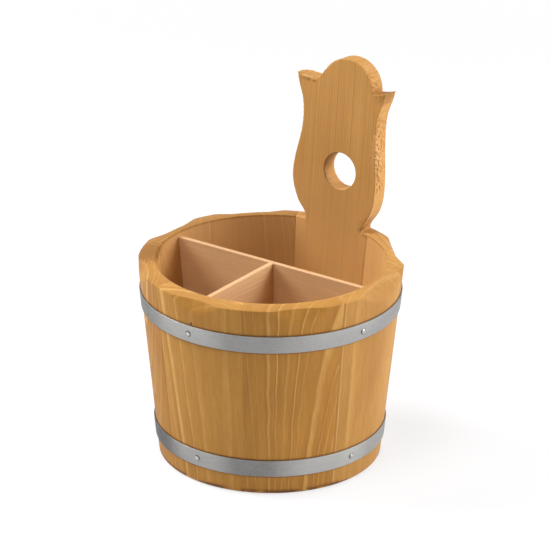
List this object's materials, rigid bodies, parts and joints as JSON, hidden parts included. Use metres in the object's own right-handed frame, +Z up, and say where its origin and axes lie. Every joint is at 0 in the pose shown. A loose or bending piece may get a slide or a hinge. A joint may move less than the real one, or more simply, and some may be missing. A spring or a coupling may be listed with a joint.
{
  "type": "cutlery holder",
  "caption": "Small coopered wooden tub with a tulip-shaped handle board, steel hoops and a T-shaped divider, for holding cutlery and kitchen tools.",
  "frame": {"origin": "on the surface the tub stands on, below the middle of the holder's whole outline; the tub's own axis is 3 mm in front of it, because the handle leans back", "axes": "+Z up; +Y towards the handle board at the back; +X to the right seen from the front"},
  "size_m": [0.1783, 0.1853, 0.2588],
  "materials": {
    "stave_wood": "honey-stained softwood, satin",
    "handle_wood": "honey-stained softwood, satin",
    "board_wood": "honey-stained softwood, matt",
    "divider_wood": "stained softwood, satin",
    "hoop_steel": "zinc-coated strip, satin",
    "nail_steel": "zinc-coated, satin"
  },
  "bodies": {
    "root": {"front_stave": "stave_wood", "front_right_stave": "stave_wood", "right_stave": "stave_wood", "back_right_stave": "stave_wood", "back_left_stave": "stave_wood", "left_stave": "stave_wood", "front_left_stave": "stave_wood", "handle_stave": "handle_wood", "bottom_board_left": "board_wood", "bottom_board_right": "board_wood", "cross_divider": "divider_wood", "front_divider": "divider_wood", "upper_hoop": "hoop_steel", "lower_hoop": "hoop_steel", "upper_hoop_nails": "nail_steel", "lower_hoop_nails": "nail_steel", "upper_hoop_rivets": "nail_steel", "lower_hoop_rivets": "nail_steel"}
  },
  "joints": []
}
